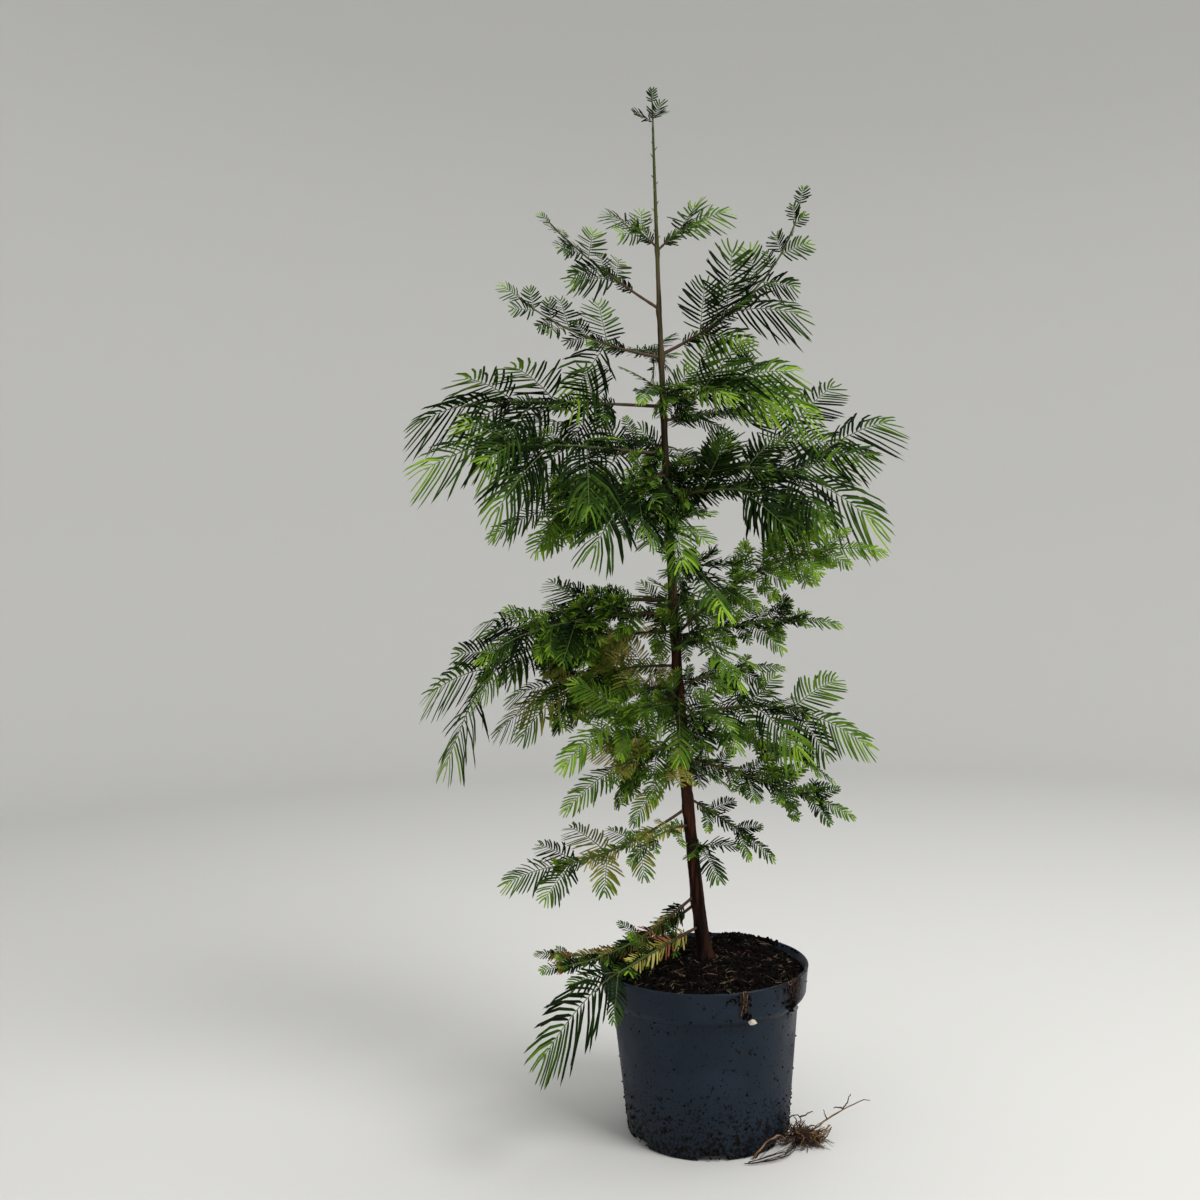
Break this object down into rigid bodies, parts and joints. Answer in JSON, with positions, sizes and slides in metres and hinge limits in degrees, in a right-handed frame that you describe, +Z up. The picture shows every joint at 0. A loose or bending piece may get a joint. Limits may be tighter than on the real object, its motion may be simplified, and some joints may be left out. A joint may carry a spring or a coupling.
{
  "type": "potted conifer sapling",
  "caption": "Young dawn redwood in a round nursery pot: one slender leaning trunk with tiers of thin boughs and flat feathery sprays of soft green needles.",
  "frame": {"origin": "centre of the pot's flat underside, on the surface that the pot stands on", "axes": "+Z up along the pot's axis and the trunk, -Y towards the front, +X to the right"},
  "size_m": [0.488, 0.3593, 1.0193],
  "materials": {
    "pot_plastic": "satin",
    "peat": "matte",
    "bark": "matte",
    "root": "matte",
    "foliage": "satin"
  },
  "bodies": {
    "root": {"pot": "pot_plastic", "soil": "peat", "trunk": "bark", "stray_roots": "root", "bough_left_2": "bark", "bough_right_2": "bark", "bough_left_3": "bark", "bough_left_4": "bark", "bough_left_9": "bark", "bough_left_16": "bark", "foliage_leader": "foliage", "foliage_left_1": "foliage", "foliage_right_1": "foliage", "foliage_left_2": "foliage", "foliage_right_2": "foliage", "foliage_left_3": "foliage", "foliage_back_1": "foliage", "foliage_right_3": "foliage", "foliage_front_1": "foliage", "foliage_right_4": "foliage", "foliage_left_4": "foliage", "foliage_right_5": "foliage", "foliage_left_5": "foliage", "foliage_left_6": "foliage", "foliage_back_2": "foliage", "foliage_right_6": "foliage", "foliage_left_7": "foliage", "foliage_right_7": "foliage", "foliage_front_2": "foliage", "foliage_right_8": "foliage", "foliage_right_9": "foliage", "foliage_left_8": "foliage", "foliage_back_3": "foliage", "foliage_front_3": "foliage", "foliage_front_4": "foliage", "foliage_left_9": "foliage", "foliage_back_4": "foliage", "foliage_left_10": "foliage", "foliage_left_11": "foliage", "foliage_right_10": "foliage", "foliage_right_11": "foliage", "foliage_front_5": "foliage", "foliage_left_12": "foliage", "foliage_right_12": "foliage", "foliage_back_5": "foliage", "foliage_left_13": "foliage", "foliage_front_6": "foliage", "foliage_right_13": "foliage", "foliage_right_14": "foliage", "foliage_left_14": "foliage", "foliage_right_15": "foliage", "foliage_left_15": "foliage", "foliage_back_6": "foliage", "foliage_right_16": "foliage", "foliage_left_16": "foliage", "foliage_left_17": "foliage", "foliage_front_7": "foliage", "foliage_left_18": "foliage", "foliage_left_19": "foliage", "foliage_left_20": "foliage"}
  },
  "joints": []
}
